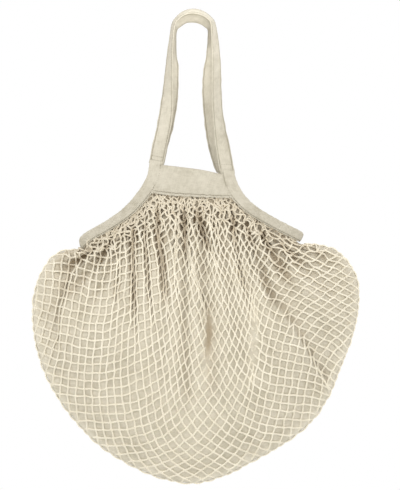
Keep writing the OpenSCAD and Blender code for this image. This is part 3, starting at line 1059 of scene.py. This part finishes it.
def lay_net(cloth, draw):
    """The front net's yarns, left and right, as points, faces, UV and share of painted
    shade, and the places where they end at the outline."""
    sides, steps = ((8, 6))
    knots = find_knots(cloth.falling, cloth.crossing)
    for key in sorted(knots):
        loose = crumpled(knots[key][0], sample(cloth.below, *knots[key]))
        knots[key] = knots[key] + draw.normal(0, 0.5 + 1.2 * loose, 2)
    halves = {hand: [[], [], [], [], 0] for hand in ("left", "right")}
    ends = []
    for slant, run in yarn_runs(knots):
        if len(run) < 2:
            continue
        centre, normal, radius, rim, below = yarn_tube(slant, run, cloth, steps, draw)
        keep = (below > -UNDER) & (rim > 0)
        for piece in np.split(np.arange(len(keep)), np.where(np.diff(keep))[0] + 1):
            if not keep[piece[0]] or len(piece) < 2:
                continue
            c, n, r = centre[piece], normal[piece], radius[piece]
            for at, beyond in ((0, piece[0] - 1), (len(piece) - 1, piece[-1] + 1)):
                if 0 <= beyond < len(rim) and rim[beyond] <= 0:
                    f = rim[piece[at]] / (rim[piece[at]] - rim[beyond])
                    end = c[at] * (1 - f) + centre[beyond] * f
                    end[1] = 0
                    ends.append(end[[0, 2]])
                    spot = len(c) if at else 0
                    c, n = np.insert(c, spot, end, 0), np.insert(n, spot, n[at], 0)
                    r = np.insert(r, spot, r[at])
            rings, uv = tube_rings(c, n, r, sides)
            out = halves["left" if c[:, 0].mean() < 0 else "right"]
            out[0].append(rings.reshape(-1, 3))
            out[1].append(tube_faces(len(c), sides) + out[4])
            out[2].append(uv.reshape(-1, 2))
            # The yarns take the painted shade of the cloth under them.
            out[3].append(np.repeat(sample(cloth.deep, c[:, 0], c[:, 2]), sides))
            out[4] += len(c) * sides
    return halves, np.array(ends)


def scalloped_rim(ends):
    """The outline as the net bulges out between the yarns that cross over it."""
    t = np.linspace(0, 1, 1400)
    line = on_curve(OUTLINE, t)
    along = run_along(line)
    nearest = [along[np.argmin(np.hypot(*(line - e).T))] for e in ends]
    stops = [0.0]
    for s in sorted(nearest):
        if s - stops[-1] > 8:
            stops.append(s)
    stops.append(along[-1])
    stops = np.array(stops)
    at = np.clip(np.searchsorted(stops, along, "right") - 1, 0, len(stops) - 2)
    share = (along - stops[at]) / np.maximum(stops[at + 1] - stops[at], 1e-6)
    wide = stops[at + 1] - stops[at]
    out = np.sin(np.pi * np.clip(share, 0, 1)) ** 0.8 * np.minimum(wide * 0.14, 2.1)
    out = out * smooth(np.minimum(along, along[-1] - along) / 12)
    d = unit(np.gradient(line, axis=0))
    return line + np.stack([d[:, 1], -d[:, 0]], -1) * (out - 0.3)[:, None]


def both_walls(name, points, faces, uv, deep, material, slot):
    """A piece of the front wall and its mirror image in the rear wall."""
    for wall, y, step in (("front", 1, 1), ("rear", -1, -1)):
        turned = points * np.array([1, y, 1])
        piece = new_piece(name.format(wall), turned, faces[:, ::step], uv, material, slot, deep)
        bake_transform(piece)
        yield piece


def make_pouch(net_material, lining_material):
    draw = np.random.default_rng(7)
    cloth = Cloth()
    halves, ends = lay_net(cloth, draw)
    for hand, (*lists, _) in halves.items():
        parts = [np.concatenate(x) for x in lists]
        for piece in both_walls("net_{}_" + hand, *parts, net_material, "net_yarn"):
            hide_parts("net_pouch")
    rim = scalloped_rim(ends)
    centre = np.stack([rim[:, 0], np.zeros(len(rim)), rim[:, 1]], -1)
    forward = np.tile([0.0, -1.0, 0.0], (len(rim), 1))
    rings, uv = tube_rings(centre, forward, np.full(len(rim), YARN_R), 8)
    shape = (rings.reshape(-1, 3), tube_faces(len(rim), 8), uv.reshape(-1, 2))
    piece = new_piece("net_rim_yarn", *shape, net_material, "net_yarn")
    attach(piece, "sack")
    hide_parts("net_pouch")
    make_lining(cloth, lining_material)


def make_lining(cloth, material):
    """Thin cloth just behind the net, closer to it at the mouth and the outline."""
    pick_u = np.arange(0, cloth.points.shape[0], 4)
    rows = cloth.points.shape[1]
    pick_v = np.r_[np.arange(14, rows - 1, 2), rows - 1]
    n = np.cross(np.gradient(cloth.points, axis=0), np.gradient(cloth.points, axis=1))
    n = unit(np.where(n[..., 1:2] > 0, -n, n))
    grid, n = cloth.points[np.ix_(pick_u, pick_v)], n[np.ix_(pick_u, pick_v)]
    run = cloth.below_mouth[np.ix_(pick_u, pick_v)]
    gap = 1.7 + 2.4 * (1 - smooth((run - 15) / 90)) * smooth((run + 8) / 20)
    gap = gap * smooth((run[:, -1:] - run) / 12)
    grid = (grid - n * gap[..., None]).transpose(1, 0, 2)
    half = np.full(grid.shape[:2], 0.25)
    points, faces, uv = shell(grid, n.transpose(1, 0, 2), half)
    # The lining takes the painted shade of the folds, streaks, steps and the mouth.
    deep = np.tile(cloth.painted_shade_at[np.ix_(pick_u, pick_v)].T.ravel(), 2)
    for piece in both_walls("lining_{}", points, faces, uv, deep, material, "lining_cloth"):
        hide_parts("lining")


# ---- put together ----


def make_bindings(side, rear, canvas, thread):
    shift = REAR_SHIFT if rear else 0
    for hand, stations, seed in (("left", LEFT_TAPE, 31), ("right", right_tape(shift), 41)):
        name = f"{side}_{hand}_binding"
        piece = ribbon(
            name + "_cloth", stations, TAPE_T, (EDGE_MARGIN,), 0.25, seed, rear, canvas, (6.5, 3)
        )
        lines = [face_line(stations, 1, EDGE_MARGIN, lift, 0.04, 0.93) for lift in (0.86, -0.86)]
        row = stitches(name + "_stitches", lines, HEM_STITCH, rear, thread)
        for part, node in ((piece, name), (row, name + "_stitching")):
            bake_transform(part)
            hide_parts(node)


def make_handle(side, stations, rear, canvas, thread):
    strap = ribbon(
        f"{side}_strap", stations, STRAP_T, (EDGE_MARGIN, -EDGE_MARGIN), 0.3, 61, rear, canvas
    )
    faces = [(edge, lift) for edge in (-1, 1) for lift in (0.56, -0.56)]
    lines = [face_line(stations, edge, EDGE_MARGIN, lift, 0.012, 0.988) for edge, lift in faces]
    rows = stitches(f"{side}_strap_stitches", lines, STRAP_STITCH, rear, thread)
    joins = []
    for t in (0.022, 0.978):
        middle, across, normal, width = ribbon_frame(stations, np.array([t, t]))
        f = np.linspace(-1, 1, 20)[:, None] * (width[0] / 2 - 2.2)
        line = middle[0] + across[0] * f
        n = np.repeat(normal[:1], 20, 0)
        joins += [(line + n * 0.8, n), (line - n * 0.8, -n)]
    join = stitches(f"{side}_strap_join_stitches", joins, JOIN_STITCH, rear, thread)
    nodes = ("handle", "handle_stitching", "handle_join_stitching")
    for piece, node in zip((strap, rows, join), nodes):
        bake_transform(piece)
        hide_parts(f"{side}_{node}")


make_camera()
make_world()
make_floor()
area_light("key", (-1.3, -1.9, 1.0), (0, 0, -0.3), 2.4, 34)
area_light("fill", (1.5, -1.7, 0.3), (0, 0, -0.3), 2.4, 20)
area_light("back", (0.4, 2.0, 0.6), (0, 0, -0.3), 1.4, 18)
area_light("handles", (0.1, -0.8, -1.1), (0, 0, 0.1), 0.3, 0.34, 13)
area_light("handle_tops", (0, -0.5, 0.5), (0, 0, 0.01), 0.1, 0.025, 9)

# fold_shade gives each material its painted shade colour: along the stitch rows of the canvas, and
# in the folds and near the mouth on the lining and the net.
canvas = woven(
    "cotton_canvas", srgb(206, 200, 184), srgb(168, 161, 142), 0.00075,
    fold_shade(srgb(138, 130, 110), 0.75),
)  # fmt: skip
lining_cloth = woven(
    "lining_cotton", srgb(225, 218, 201), srgb(184, 176, 153), 0.0006,
    fold_shade(srgb(178, 161, 134), 0.95),
)  # fmt: skip
net_yarn = yarn(
    "cotton_net_yarn", srgb(249, 243, 226), srgb(223, 214, 191), 0.0034,
    fold_shade(srgb(190, 173, 146), 0.75),
)  # fmt: skip
thread = yarn("sewing_thread", srgb(182, 174, 153), srgb(146, 138, 116), 0.0012)

make_pouch(net_yarn, lining_cloth)
for side, rear, stations in (("front", False, FRONT_HANDLE), ("rear", True, REAR_HANDLE)):
    make_bindings(side, rear, canvas, thread)
    make_band(side, REAR_SHIFT if rear else 0, rear, canvas, thread)
    make_handle(side, stations, rear, canvas, thread)

bpy.context.scene.view_settings.view_transform = "Standard"

boxes = {"cad": cad_box, "visual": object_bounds()}
{k: [list(corner) for corner in box] for k, box in boxes.items()}
